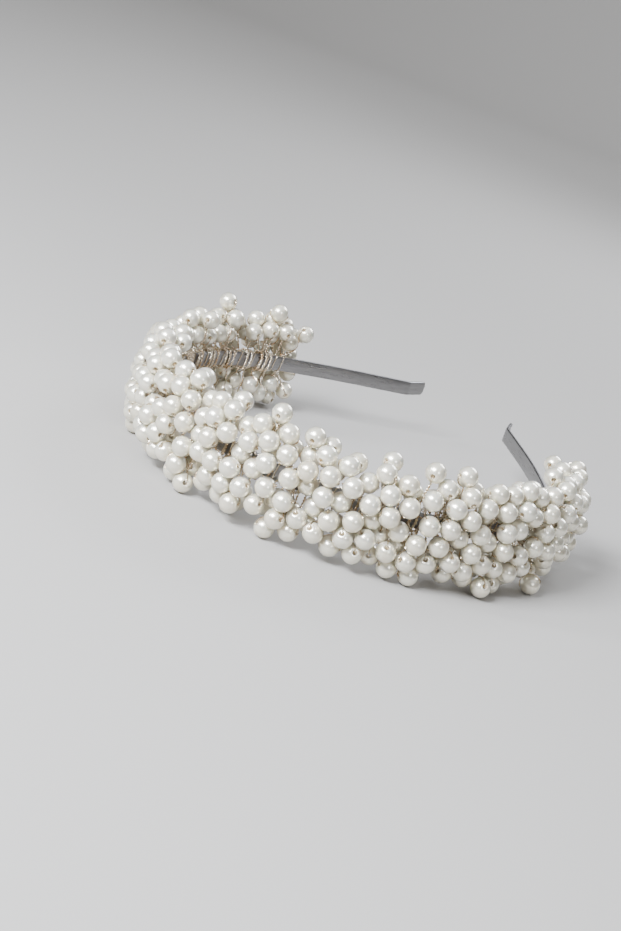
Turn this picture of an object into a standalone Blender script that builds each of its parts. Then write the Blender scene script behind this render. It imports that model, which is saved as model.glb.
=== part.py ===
"""Pearl bridal headband: a flat steel band with sprigs of imitation pearls wired round it.

Metres, +Z up. The headband lies on its side: its arc runs in the XY plane, with the middle of the crown towards
-Y and the open ends towards +Y. It rests at Z = 0 on the lowest pearls of the garland.

Places on the band are given as (along, out, up): the length along the band's middle line from the middle of the
crown, positive towards +X, the distance outwards from that line, and the height above it.
"""
import math
import random

import bmesh
import bpy
from mathutils import Vector

MM = 0.001

# Steel band
BAND_WIDTH = 5.0 * MM
BAND_THICKNESS = 1.0 * MM
BAND_CHAMFER = 0.25 * MM
CROWN_RADIUS = 62.0 * MM
CROWN_HALF_ANGLE = math.radians(120)
LEG_RADIUS = 270.0 * MM
LEG_LENGTH = 37.0 * MM
TEMPLE_FLAT_LENGTH = 20.0 * MM
TIP_BEND_RADIUS = 4.0 * MM
TIP_BEND_ANGLE = math.radians(25)
TIP_LENGTH = 8.5 * MM
TIP_CORNER_RADIUS = 1.2 * MM

# Pearls and wire
PEARL_DIAMETER = 6.0 * MM
STEM_DIAMETER = 0.8 * MM
STEM_SIDES = 5
STEM_START_IN_RADII = 0.98
CLEARANCE = 0.3 * MM

# Garland: how far it reaches from the crown's middle and from the band
GARLAND_LEFT_END = 138.0 * MM
GARLAND_RIGHT_END = 130.0 * MM
GARLAND_HALF_HEIGHT = 17.4 * MM
GARLAND_OUTER_REACH = 12.6 * MM
GARLAND_CENTRE_OUT = 3.3 * MM
SPRIG_PITCH_IN_PEARLS = 2.73
FOOT_EVERY = 2
FOOT_STANDS_PROUD = 0.8 * MM
SEED = 11

# Faceting of the band's curves, and the bend that is shaded as an edge
CROWN_STEP = math.radians(6)
LEG_STEPS = 2
BEND_STEPS = 3
TIP_CORNER_STEPS = 2
SHARP_EDGE_ANGLE = math.radians(35)

# Seats of one sprig's pearls. along is a share of the sprig pitch. angle goes round the garland's section from
# straight outwards (0) to the edge (90), and the odd sprigs use odd_angle. The first pearl is the core, which
# sits on the stem, and the others sit against it.
SPRIG_SEATS = (
    # name, along, angle, odd_angle
    ("core pearl", 0.0, 40, 34),
    ("leading edge pearl", -0.22, 74, 90),
    ("trailing edge pearl", 0.22, 88, 72),
    ("crest pearl", 0.05, 10, 2),
)
TOUCH_IN_PEARLS = 0.95
FOOT_DROP_IN_TOUCHES = 0.8
ROOT_IN_HALF_WIDTHS = 0.3

# How unevenly the pearls sit by hand, and how that grows from try to try until a place is free
JITTER_ALONG = 0.9 * MM
JITTER_ANGLE = 7.0
JITTER_REACH = 0.06
JITTER_GROWTH = 0.08
SEARCH_LIMIT = 400
ROUNDING_ERROR = 1e-6

# Surface finish of each material: colour, roughness, metallic
FINISHES = {
    "pearl": ((0.86, 0.80, 0.70, 1.0), 0.22, 0.0),
    "wire": ((0.62, 0.50, 0.38, 1.0), 0.35, 1.0),
    "steel": ((0.42, 0.42, 0.43, 1.0), 0.30, 1.0),
}


def band_stretches():
    """Return the stretches of one half of the band from the crown's middle: length, curvature, steps."""
    crown = CROWN_RADIUS * CROWN_HALF_ANGLE
    bend = TIP_BEND_RADIUS * TIP_BEND_ANGLE
    return (
        (crown, 1.0 / CROWN_RADIUS, round(CROWN_HALF_ANGLE / CROWN_STEP)),
        (LEG_LENGTH, 1.0 / LEG_RADIUS, LEG_STEPS),
        (TEMPLE_FLAT_LENGTH, 0.0, 1),
        (bend, -1.0 / TIP_BEND_RADIUS, BEND_STEPS),
        (TIP_LENGTH, 0.0, 1),
    )


def band_frame(along):
    """Return the middle line's point, its direction and the outward direction at a length along the band."""
    x = y = heading = 0.0
    left = abs(along)
    for length, curvature, _ in band_stretches():
        run = min(left, length)
        turn = curvature * run
        if curvature:
            x += (math.sin(heading + turn) - math.sin(heading)) / curvature
            y -= (math.cos(heading + turn) - math.cos(heading)) / curvature
        else:
            x += run * math.cos(heading)
            y += run * math.sin(heading)
        heading += turn
        left -= run
    side = -1.0 if along < 0 else 1.0
    direction = Vector((math.cos(heading), side * math.sin(heading), 0))
    outward = Vector((side * math.sin(heading), -math.cos(heading), 0))
    return Vector((side * x, y, 0)), direction, outward


def place(along, out, up):
    """Return the point at a length along the band, a distance outwards and a height."""
    point, _, outward = band_frame(along)
    return point + outward * out + Vector((0, 0, up))


def chamfered_section(half_width, half_thickness, chamfer):
    """Return the eight corners (out, up) of a flat strip with broken edges, in order round it."""
    wide, thick = half_width - chamfer, half_thickness - chamfer
    quarter = ((half_thickness, wide), (thick, half_width))
    return (
        [(out, up) for out, up in quarter]
        + [(-out, up) for out, up in reversed(quarter)]
        + [(-out, -up) for out, up in quarter]
        + [(out, -up) for out, up in reversed(quarter)]
    )


def make_material(name):
    """Return the material of that name, made on first use."""
    material = bpy.data.materials.get(name)
    if material is None:
        colour, roughness, metallic = FINISHES[name]
        material = bpy.data.materials.new(name)
        material.use_nodes = True
        shader = material.node_tree.nodes["Principled BSDF"]
        shader.inputs["Base Color"].default_value = colour
        shader.inputs["Roughness"].default_value = roughness
        shader.inputs["Metallic"].default_value = metallic
        material.diffuse_color = colour
    return material


def new_object(name, mesh_data, parent, finishes):
    """Link a mesh as a named object under the parent, with its materials."""
    piece = bpy.data.objects.new(name, mesh_data)
    bpy.context.scene.collection.objects.link(piece)
    piece.parent = parent
    mesh_data.materials.clear()
    for finish in finishes:
        mesh_data.materials.append(make_material(finish))
    return piece


def mesh_from(bm, name):
    """Turn a closed bmesh into a mesh with its faces pointing out."""
    bmesh.ops.recalc_face_normals(bm, faces=bm.faces)
    mesh_data = bpy.data.meshes.new(name)
    bm.to_mesh(mesh_data)
    bm.free()
    return mesh_data


def bridge(bm, first_ring, second_ring):
    """Join two rings of as many vertices with four-sided faces and return those faces."""
    count = len(first_ring)
    faces = []
    for i in range(count):
        j = (i + 1) % count
        faces.append(bm.faces.new((first_ring[i], first_ring[j], second_ring[j], second_ring[i])))
    return faces


def band_stations():
    """Return the lengths along the band at which its section is set, from the left end to the right."""
    stations = [0.0]
    start = 0.0
    for length, _, steps in band_stretches():
        stations += [start + length * (i + 1) / steps for i in range(steps)]
        start += length
    turns = [math.pi / 2 * step / TIP_CORNER_STEPS for step in range(TIP_CORNER_STEPS + 1)]
    stations[-1:] = [start - TIP_CORNER_RADIUS * (1 - math.sin(turn)) for turn in turns]
    return [-station for station in reversed(stations[1:])] + stations


def half_width_at(along):
    """Return half the band's width, which is less at the rounded corners of its ends."""
    before_end = sum(length for length, _, _ in band_stretches()) - abs(along)
    missing = max(0.0, 1 - before_end / TIP_CORNER_RADIUS)
    return BAND_WIDTH / 2 - TIP_CORNER_RADIUS * (1 - math.sqrt(1 - min(1.0, missing) ** 2))


def build_headband(parent):
    """Loft the flat steel strip from one bent-out tip round the crown to the other."""
    bm = bmesh.new()
    rings = []
    for along in band_stations():
        section = chamfered_section(half_width_at(along), BAND_THICKNESS / 2, BAND_CHAMFER)
        rings.append([bm.verts.new(place(along, out, up)) for out, up in section])
    for first_ring, second_ring in zip(rings, rings[1:]):
        bridge(bm, first_ring, second_ring)
    bm.faces.new(rings[0])
    bm.faces.new(rings[-1])
    piece = new_object("headband", mesh_from(bm, "headband"), parent, ("steel",))
    piece.data.shade_smooth()
    piece.data.set_sharp_from_angle(angle=SHARP_EDGE_ANGLE)
    return piece


def tail_loop():
    """Return the corners (out, up) of the wire tail's loop round the band, clear of its section."""
    spacing = CLEARANCE + STEM_DIAMETER / 2
    out = BAND_THICKNESS / 2 + spacing
    up = BAND_WIDTH / 2 - BAND_CHAMFER + spacing * (math.sqrt(2) - 1)
    return [(out, -up), (out, up), (0, out + up), (-out, up), (-out, -up), (0, -out - up)]


def tail_mesh(along):
    """Make the closed turn of twisted wire that holds one sprig on the band."""
    bm = bmesh.new()
    corners = [Vector(corner) for corner in tail_loop()]
    _, direction, outward = band_frame(along)
    rings = []
    for i, corner in enumerate(corners):
        before = (corner - corners[i - 1]).normalized()
        after = (corners[(i + 1) % len(corners)] - corner).normalized()
        mitre = (before - after).normalized()
        widening = 1.0 / math.cos(before.angle(after) / 2)
        ring = []
        for k in range(STEM_SIDES):
            turn = 2 * math.pi * (k + 0.5) / STEM_SIDES
            flat = corner + mitre * (STEM_DIAMETER / 2 * math.cos(turn) * widening)
            sideways = direction * (STEM_DIAMETER / 2 * math.sin(turn))
            ring.append(bm.verts.new(place(along, flat.x, flat.y) + sideways))
        rings.append(ring)
    for i, ring in enumerate(rings):
        bridge(bm, ring, rings[(i + 1) % len(rings)])
    for face in bm.faces:
        face.material_index = 1
    return mesh_from(bm, "tail")


def pearl_mesh(centre, towards, root=None):
    """Make one pearl with a pole towards a point, on a stem of twisted wire that runs to the root if given."""
    bm = bmesh.new()
    bmesh.ops.create_icosphere(bm, subdivisions=2, radius=PEARL_DIAMETER / 2)
    if root is not None:
        pole = min(bm.verts, key=lambda vertex: vertex.co.z)
        rim = [edge.other_vert(pole) for edge in pole.link_edges]
        rim.sort(key=lambda vertex: math.atan2(vertex.co.y, vertex.co.x))
        bmesh.ops.delete(bm, geom=[pole], context="VERTS")
        for depth in (PEARL_DIAMETER / 2 * STEM_START_IN_RADII, (root - centre).length):
            ring = []
            for vertex in rim:
                around = Vector((vertex.co.x, vertex.co.y, 0)).normalized() * (STEM_DIAMETER / 2)
                ring.append(bm.verts.new((around.x, around.y, -depth)))
            for face in bridge(bm, rim, ring):
                face.material_index = 1
            rim = ring
        bm.faces.new(rim).material_index = 1
    turn = Vector((0, 0, -1)).rotation_difference(towards - centre)
    bmesh.ops.rotate(bm, verts=bm.verts, matrix=turn.to_matrix())
    bmesh.ops.translate(bm, verts=bm.verts, vec=centre)
    return mesh_from(bm, "pearl")


def distance_between(a_start, a_end, b_start, b_end):
    """Return the least distance between two straight stretches; a stretch may be a single point."""
    a_run, b_run, apart = a_end - a_start, b_end - b_start, a_start - b_start
    a_sq, b_sq, cross = a_run.dot(a_run), b_run.dot(b_run), a_run.dot(b_run)
    scale = a_sq * b_sq - cross * cross
    share = 0.0
    if scale > 1e-18:
        share = min(1.0, max(0.0, (cross * b_run.dot(apart) - b_sq * a_run.dot(apart)) / scale))
    other = min(1.0, max(0.0, (cross * share + b_run.dot(apart)) / b_sq)) if b_sq else 0.0
    if a_sq:
        share = min(1.0, max(0.0, (cross * other - a_run.dot(apart)) / a_sq))
    return (a_start + a_run * share - b_start - b_run * other).length


def is_clear(centre, root, sprigs):
    """Tell whether a pearl, and its stem if it has one, keeps the clearance to every other sprig."""
    pearl, stem = PEARL_DIAMETER / 2, STEM_DIAMETER / 2
    end = centre if root is None else root
    for other_root, others in sprigs:
        for other in others:
            if (centre - other).length < 2 * pearl + CLEARANCE:
                return False
            if distance_between(other, other, centre, end) < pearl + stem + CLEARANCE:
                return False
        if distance_between(centre, centre, others[0], other_root) < pearl + stem + CLEARANCE:
            return False
        if root is not None and distance_between(centre, root, others[0], other_root) < 2 * stem + CLEARANCE:
            return False
    return True


def seat_place(along, angle, reach, side):
    """Return a pearl's centre on the garland's section."""
    high = GARLAND_HALF_HEIGHT - PEARL_DIAMETER / 2
    wide = GARLAND_OUTER_REACH - PEARL_DIAMETER / 2 - GARLAND_CENTRE_OUT
    out = GARLAND_CENTRE_OUT + wide * reach * math.cos(math.radians(angle))
    up = high * reach * math.sin(math.radians(angle)) * side
    return place(along, out, up)


def lean_against(core, target, height=None):
    """Return the centre of a pearl that touches the core pearl on the target's side, at a height if given."""
    touch = TOUCH_IN_PEARLS * PEARL_DIAMETER
    if height is None:
        return core + (target - core).normalized() * touch
    drop = max(-touch, min(touch, height - core.z))
    sideways = Vector((target.x - core.x, target.y - core.y, 0)).normalized()
    return core + sideways * math.sqrt(touch * touch - drop * drop) + Vector((0, 0, drop))


def settle_sprig(along, pitch, side, number, sprigs, rng):
    """Find free places for one sprig's pearls and return its root with their centres, the core first."""
    rest = GARLAND_HALF_HEIGHT - PEARL_DIAMETER / 2
    has_foot = side < 0 and number % FOOT_EVERY == 0
    foot = SPRIG_SEATS[1 + number // FOOT_EVERY % 2]
    tail_out = BAND_THICKNESS / 2 + CLEARANCE + STEM_DIAMETER / 2
    root = place(along, tail_out, side * ROOT_IN_HALF_WIDTHS * BAND_WIDTH / 2)
    centres = []
    for seat in SPRIG_SEATS:
        _, share, even_angle, odd_angle = seat
        angle = odd_angle if number % 2 else even_angle
        is_foot = has_foot and seat is foot
        for attempt in range(SEARCH_LIMIT):
            growth = 1.0 + attempt * JITTER_GROWTH
            shift = share * pitch + rng.uniform(-1, 1) * JITTER_ALONG * growth
            tilt = angle + rng.uniform(-1, 1) * JITTER_ANGLE * growth
            reach = 1.0 + rng.uniform(-1, 1 + attempt * JITTER_GROWTH) * JITTER_REACH
            centre = seat_place(along + shift, tilt, reach, side)
            if not centres and has_foot:
                centre.z = TOUCH_IN_PEARLS * PEARL_DIAMETER * FOOT_DROP_IN_TOUCHES - rest
            if centres:
                centre = lean_against(centres[0], centre, -rest if is_foot else None)
            lowest = (0.0 if is_foot else FOOT_STANDS_PROUD) - rest - ROUNDING_ERROR
            sisters_clear = all((centre - other).length > PEARL_DIAMETER + CLEARANCE for other in centres[1:])
            if centre.z > lowest and sisters_clear and is_clear(centre, None if centres else root, sprigs):
                break
        centres.append(centre)
    return root, centres


def lay_out_sprigs():
    """Return each sprig's name, its place along the band, its root and its pearls' centres."""
    rng = random.Random(SEED)
    start = PEARL_DIAMETER / 2 - GARLAND_LEFT_END
    length = GARLAND_LEFT_END + GARLAND_RIGHT_END - PEARL_DIAMETER
    count = max(1, round(length / (SPRIG_PITCH_IN_PEARLS * PEARL_DIAMETER)))
    pitch = length / count
    named = []
    sprigs = []
    for row, side, first, last in (("upper", 1, 0.5, count), ("lower", -1, 1.0, count - 1)):
        for number in range(last):
            along = start + (number + first) * pitch
            sprigs.append(settle_sprig(along, pitch, side, number, sprigs, rng))
            named.append((f"{row}_sprig_{number + 1:02d}", along) + sprigs[-1])
    return named


def build_sprig(name, along, root, centres, parent):
    """Fuse a sprig's wire tail, the stem with its core pearl and the pearls against it into one solid."""
    core = centres[0]
    shoots = bpy.data.collections.new(name + "_shoots")
    for centre in centres:
        shape = pearl_mesh(core, root, root) if centre is core else pearl_mesh(centre, core)
        shoot = bpy.data.objects.new(name + "_shoot", shape)
        shape.materials.append(make_material("pearl"))
        shape.materials.append(make_material("wire"))
        shoots.objects.link(shoot)
    bpy.context.scene.collection.children.link(shoots)
    sprig = new_object(name, tail_mesh(along), parent, ("pearl", "wire"))
    union = sprig.modifiers.new("fuse", "BOOLEAN")
    union.operation = "UNION"
    union.solver = "EXACT"
    union.operand_type = "COLLECTION"
    union.collection = shoots
    bpy.context.view_layer.update()
    fused = bpy.data.meshes.new_from_object(sprig.evaluated_get(bpy.context.evaluated_depsgraph_get()))
    sprig.modifiers.clear()
    sprig.data = fused
    for shoot in list(shoots.objects):
        bpy.data.objects.remove(shoot)
    bpy.data.collections.remove(shoots)
    fused.shade_smooth()
    fused.set_sharp_from_angle(angle=SHARP_EDGE_ANGLE)
    return sprig


def stand_on_origin(parent, pieces):
    """Move the parent so that the headband's box stands on the origin by the middle of its base."""
    corners = [vertex.co for piece in pieces for vertex in piece.data.vertices]
    low = [min(corner[axis] for corner in corners) for axis in range(3)]
    high = [max(corner[axis] for corner in corners) for axis in range(3)]
    parent.location = (-(low[0] + high[0]) / 2, -(low[1] + high[1]) / 2, -low[2])


def main():
    """Build the headband and its sprigs."""
    for old in list(bpy.data.objects):
        bpy.data.objects.remove(old)
    parent = bpy.data.objects.new("pearl_headband", None)
    bpy.context.scene.collection.objects.link(parent)
    pieces = [build_headband(parent)]
    for name, along, root, centres in lay_out_sprigs():
        pieces.append(build_sprig(name, along, root, centres, parent))
    stand_on_origin(parent, pieces)


main()
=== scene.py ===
"""Looks of the pearl bridal headband: drilled lacquered pearls on twisted wire, round a brushed steel band.

Every place is worked out in the band's own frame, where the middle of the crown is the origin, the band's
arc lies in the XY plane and the two open ends point towards +Y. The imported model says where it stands.
"""
from __future__ import annotations

import logging
import math
import random
from dataclasses import dataclass, field, replace
from enum import Enum
from typing import Iterable, Sequence

import bpy
import numpy as np
from mathutils import Matrix, Vector


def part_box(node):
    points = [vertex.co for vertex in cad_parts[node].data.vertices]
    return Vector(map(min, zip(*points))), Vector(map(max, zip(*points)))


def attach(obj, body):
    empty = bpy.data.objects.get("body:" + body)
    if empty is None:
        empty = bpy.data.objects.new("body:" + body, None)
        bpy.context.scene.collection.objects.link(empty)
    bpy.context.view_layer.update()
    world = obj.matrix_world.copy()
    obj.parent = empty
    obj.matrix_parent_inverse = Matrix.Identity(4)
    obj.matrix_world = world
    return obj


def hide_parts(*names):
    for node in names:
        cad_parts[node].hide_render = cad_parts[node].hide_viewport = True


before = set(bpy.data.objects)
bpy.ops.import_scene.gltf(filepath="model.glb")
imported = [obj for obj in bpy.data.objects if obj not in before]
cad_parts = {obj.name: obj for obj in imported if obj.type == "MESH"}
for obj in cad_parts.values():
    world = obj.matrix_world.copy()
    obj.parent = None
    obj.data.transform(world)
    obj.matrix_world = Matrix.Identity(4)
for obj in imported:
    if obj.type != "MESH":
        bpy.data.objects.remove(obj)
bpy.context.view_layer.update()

LOG = logging.getLogger("headband")
# Lengths are in metres and angles in radians, unless a name says otherwise.
MM = 0.001
ROOT = "root"
FULL_TURN = 2 * math.pi
SHARP_ANGLE = math.radians(50)
FAR_AWAY = 1.0


class Slot(Enum):
    """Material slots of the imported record."""

    PEARL = "pearl"
    STEEL = "steel"
    WIRE = "wire"


class Row(Enum):
    """The two rows of sprigs: name, side of the band, first place in pitches, and how many fewer it has."""

    UPPER = ("upper", 1, 0.5, 0)
    LOWER = ("lower", -1, 1.0, 1)


def linear(hex_colour: str) -> tuple[float, float, float, float]:
    """Turn an sRGB hex colour into linear RGBA.

    Args:
        hex_colour: six hex digits, such as "F2EBDD".

    Returns:
        The colour in linear light with full alpha.
    """
    channels = [int(hex_colour[i:i + 2], 16) / 255 for i in (0, 2, 4)]
    bright = [c / 12.92 if c <= 0.04045 else ((c + 0.055) / 1.055) ** 2.4 for c in channels]
    return bright[0], bright[1], bright[2], 1.0


def add_node(
    tree: bpy.types.NodeTree, kind: str, settings: dict | None = None, links: dict | None = None
) -> bpy.types.Node:
    """Add one shader node with its settings and links.

    Args:
        tree: the material's node tree.
        kind: the node's type name.
        settings: node attributes by name, and socket values by "socket:" and the socket's name or number.
        links: output sockets by the name or number of the input that each one feeds.

    Returns:
        The new node.
    """
    node = tree.nodes.new(kind)
    for name, value in (settings or {}).items():
        if name.startswith("socket:"):
            key = name.removeprefix("socket:")
            node.inputs[int(key) if key.isdigit() else key].default_value = value
        else:
            setattr(node, name, value)
    for name, output in (links or {}).items():
        tree.links.new(output, node.inputs[name])
    return node


def new_material(name: str, constants: dict) -> tuple[bpy.types.Material, bpy.types.NodeTree, bpy.types.Node]:
    """Make a node material with what is the same all over its surface.

    Args:
        name: the material's name.
        constants: values by the name of the shader's socket.

    Returns:
        The material, its tree and its Principled shader.
    """
    material = bpy.data.materials.new(name)
    material.use_nodes = True
    shader = material.node_tree.nodes["Principled BSDF"]
    for socket, value in constants.items():
        shader.inputs[socket].default_value = value
    return material, material.node_tree, shader


def link_object(name: str, data: bpy.types.ID) -> bpy.types.Object:
    """Put new data into the scene.

    Args:
        name: the object's name.
        data: its mesh, light or camera.

    Returns:
        The linked object.
    """
    thing = bpy.data.objects.new(name, data)
    bpy.context.scene.collection.objects.link(thing)
    return thing


@dataclass(frozen=True)
class PearlLacquer:
    """Imitation pearl: a moulded ABS bead dipped in lacquer with mica flakes.

    The flakes lie flat to the surface, so they give a broad soft glow that fades towards the rim, under the
    small sharp highlight of the clear top coat.
    """

    light_tone: str = "F0EDDE"
    warm_tone: str = "E6DDC4"
    flake_share: float = 0.58
    roughness: float = 0.29
    ior: float = 1.54
    coat_roughness: float = 0.03
    coat_ior: float = 1.7
    glow_share: float = 0.12
    glow_depth_mm: float = 1.2
    cloud_mm: float = 2.4
    cloud_share: float = 0.45
    unevenness_mm: float = 1.3
    unevenness_height_mm: float = 0.02

    def make(self) -> bpy.types.Material:
        """Build the finish: a tone for each pearl, cloudy lacquer and a faint unevenness under the gloss.

        Returns:
            The material.
        """
        material, tree, shader = new_material("pearl_lacquer", {
            "Metallic": self.flake_share,
            "Roughness": self.roughness,
            "IOR": self.ior,
            "Subsurface Weight": self.glow_share,
            "Subsurface Radius": (1.0, 0.72, 0.45),
            "Subsurface Scale": self.glow_depth_mm * MM,
            "Coat Weight": 1.0,
            "Coat Roughness": self.coat_roughness,
            "Coat IOR": self.coat_ior,
        })
        place = add_node(tree, "ShaderNodeTexCoord")
        tone = add_node(tree, "ShaderNodeAttribute", {"attribute_name": "pearl_tone"})
        cloud = add_node(
            tree, "ShaderNodeTexNoise",
            {"socket:Scale": 1 / (self.cloud_mm * MM), "socket:Detail": 2.0, "socket:Roughness": 0.45},
            {"Vector": place.outputs["Object"]},
        )
        mixed = add_node(
            tree, "ShaderNodeMath",
            {"operation": "MULTIPLY_ADD", "socket:1": self.cloud_share, "use_clamp": True},
            {0: cloud.outputs["Fac"], 2: tone.outputs["Fac"]},
        )
        colour = add_node(
            tree, "ShaderNodeMix",
            {"data_type": "RGBA", "socket:6": linear(self.light_tone), "socket:7": linear(self.warm_tone)},
            {0: mixed.outputs[0]},
        )
        uneven = add_node(
            tree, "ShaderNodeTexNoise",
            {"socket:Scale": 1 / (self.unevenness_mm * MM), "socket:Detail": 1.0},
            {"Vector": place.outputs["Object"]},
        )
        bump = add_node(
            tree, "ShaderNodeBump",
            {"socket:Strength": 1.0, "socket:Distance": self.unevenness_height_mm * MM},
            {"Height": uneven.outputs["Fac"]},
        )
        tree.links.new(colour.outputs[2], shader.inputs["Base Color"])
        tree.links.new(bump.outputs["Normal"], shader.inputs["Normal"])
        return material


@dataclass(frozen=True)
class BareCore:
    """The drilled bead's bore: uncoated cream ABS, dull and yellower than the lacquer."""

    tone: str = "F0E6D0"
    roughness: float = 0.6
    scoring_mm: float = 0.25
    scoring_height_mm: float = 0.03

    def make(self) -> bpy.types.Material:
        """Build the finish with the drill's faint scoring.

        Returns:
            The material.
        """
        constants = {"Base Color": linear(self.tone), "Roughness": self.roughness}
        material, tree, shader = new_material("bare_core", constants)
        place = add_node(tree, "ShaderNodeTexCoord")
        scoring = add_node(
            tree, "ShaderNodeTexNoise",
            {"socket:Scale": 1 / (self.scoring_mm * MM), "socket:Detail": 2.0},
            {"Vector": place.outputs["Object"]},
        )
        bump = add_node(
            tree, "ShaderNodeBump",
            {"socket:Strength": 0.5, "socket:Distance": self.scoring_height_mm * MM},
            {"Height": scoring.outputs["Fac"]},
        )
        tree.links.new(bump.outputs["Normal"], shader.inputs["Normal"])
        return material


@dataclass(frozen=True)
class BrushedSteel:
    """Rolled spring steel strip, brushed along its length.

    The fine streaks stretch the highlights across the strip.
    """

    bright_tone: str = "9C9B9B"
    dark_tone: str = "706F70"
    roughness_low: float = 0.20
    roughness_high: float = 0.38
    streak_width_mm: float = 0.16
    streak_length_mm: float = 9.0
    streak_height_mm: float = 0.01

    def make(self) -> bpy.types.Material:
        """Build the finish from streaks in the strip's own length and width, in millimetres.

        Returns:
            The material.
        """
        material, tree, shader = new_material("brushed_steel", {"Metallic": 1.0})
        place = add_node(tree, "ShaderNodeUVMap", {"uv_map": "strip_mm"})
        stretched = add_node(
            tree, "ShaderNodeMapping",
            {"socket:Scale": (1 / self.streak_length_mm, 1 / self.streak_width_mm, 1.0)},
            {"Vector": place.outputs["UV"]},
        )
        streaks = add_node(
            tree, "ShaderNodeTexNoise",
            {"socket:Scale": 1.0, "socket:Detail": 4.0, "socket:Roughness": 0.6},
            {"Vector": stretched.outputs["Vector"]},
        )
        colour = add_node(
            tree, "ShaderNodeMix",
            {"data_type": "RGBA", "socket:6": linear(self.dark_tone), "socket:7": linear(self.bright_tone)},
            {0: streaks.outputs["Fac"]},
        )
        dullness = add_node(
            tree, "ShaderNodeMapRange",
            {"socket:To Min": self.roughness_low, "socket:To Max": self.roughness_high},
            {"Value": streaks.outputs["Fac"]},
        )
        bump = add_node(
            tree, "ShaderNodeBump",
            {"socket:Strength": 0.35, "socket:Distance": self.streak_height_mm * MM},
            {"Height": streaks.outputs["Fac"]},
        )
        tree.links.new(colour.outputs[2], shader.inputs["Base Color"])
        tree.links.new(dullness.outputs["Result"], shader.inputs["Roughness"])
        tree.links.new(bump.outputs["Normal"], shader.inputs["Normal"])
        return material


@dataclass(frozen=True)
class PlatedWire:
    """Drawn copper wire plated a pale champagne.

    It has a bright narrow highlight and is warmer where the plating is thin.
    """

    plated_tone: str = "EADFCC"
    thin_tone: str = "CBB08C"
    roughness: float = 0.26
    patch_mm: float = 3.0
    patch_from: float = 0.42
    patch_to: float = 0.72

    def make(self) -> bpy.types.Material:
        """Build the finish with patches of thinner plating a few millimetres long.

        Returns:
            The material.
        """
        constants = {"Metallic": 1.0, "Roughness": self.roughness}
        material, tree, shader = new_material("plated_wire", constants)
        place = add_node(tree, "ShaderNodeTexCoord")
        patches = add_node(
            tree, "ShaderNodeTexNoise",
            {"socket:Scale": 1 / (self.patch_mm * MM), "socket:Detail": 2.0},
            {"Vector": place.outputs["Object"]},
        )
        spread = add_node(
            tree, "ShaderNodeMapRange",
            {"socket:From Min": self.patch_from, "socket:From Max": self.patch_to},
            {"Value": patches.outputs["Fac"]},
        )
        colour = add_node(
            tree, "ShaderNodeMix",
            {"data_type": "RGBA", "socket:6": linear(self.plated_tone), "socket:7": linear(self.thin_tone)},
            {0: spread.outputs["Result"]},
        )
        tree.links.new(colour.outputs[2], shader.inputs["Base Color"])
        return material


@dataclass(frozen=True)
class StudioPaper:
    """Matt seamless background paper, which takes soft contact shadows and no reflection."""

    tone: str = "A29F9A"
    roughness: float = 0.85
    fibre_mm: float = 0.9
    fibre_height_mm: float = 0.05

    def make(self) -> bpy.types.Material:
        """Build the finish with a barely visible fibre.

        Returns:
            The material.
        """
        constants = {"Base Color": linear(self.tone), "Roughness": self.roughness}
        material, tree, shader = new_material("studio_paper", constants)
        place = add_node(tree, "ShaderNodeTexCoord")
        fibre = add_node(
            tree, "ShaderNodeTexNoise",
            {"socket:Scale": 1 / (self.fibre_mm * MM), "socket:Detail": 3.0},
            {"Vector": place.outputs["Object"]},
        )
        bump = add_node(
            tree, "ShaderNodeBump",
            {"socket:Strength": 0.15, "socket:Distance": self.fibre_height_mm * MM},
            {"Height": fibre.outputs["Fac"]},
        )
        tree.links.new(bump.outputs["Normal"], shader.inputs["Normal"])
        return material


@dataclass
class MeshParts:
    """Points and faces of several bodies, gathered into one mesh."""

    points: list[np.ndarray] = field(default_factory=list)
    faces: list[tuple[int, ...]] = field(default_factory=list)
    slots: list[int] = field(default_factory=list)
    tones: list[float] = field(default_factory=list)
    count: int = 0

    def add(
        self,
        points: np.ndarray,
        faces: Iterable[Sequence[int]],
        slots: Sequence[int] = (),
        tone: float = 0.0,
    ) -> None:
        """Add one body.

        Args:
            points: its points, one row each.
            faces: its faces as indices into those points.
            slots: the material slot of each face, or nothing for the first slot everywhere.
            tone: the shade stored on all its points.
        """
        faces = [tuple(i + self.count for i in face) for face in faces]
        self.faces.extend(faces)
        self.slots.extend(slots or [0] * len(faces))
        self.points.append(points)
        self.tones.extend([tone] * len(points))
        self.count += len(points)

    def make(self, name: str, materials: Sequence[bpy.types.Material], origin: Vector) -> bpy.types.Object:
        """Turn the parts into one smooth object in the scene.

        Args:
            name: the object's name.
            materials: the materials by slot.
            origin: where the band's own frame stands.

        Returns:
            The linked object.
        """
        mesh = bpy.data.meshes.new(name)
        points = np.concatenate(self.points) + np.array(origin)
        mesh.from_pydata(points.tolist(), [], self.faces)
        mesh.polygons.foreach_set("material_index", self.slots)
        shade = mesh.attributes.new("pearl_tone", "FLOAT", "POINT")
        shade.data.foreach_set("value", self.tones)
        mesh.shade_smooth()
        mesh.set_sharp_from_angle(angle=SHARP_ANGLE)
        for material in materials:
            mesh.materials.append(material)
        mesh.update()
        return link_object(name, mesh)


def round_ring(sides: int) -> np.ndarray:
    """Return points evenly round a circle of radius 1, one row each."""
    turn = np.arange(sides) * (FULL_TURN / sides)
    return np.stack([np.cos(turn), np.sin(turn)], axis=1)


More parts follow.
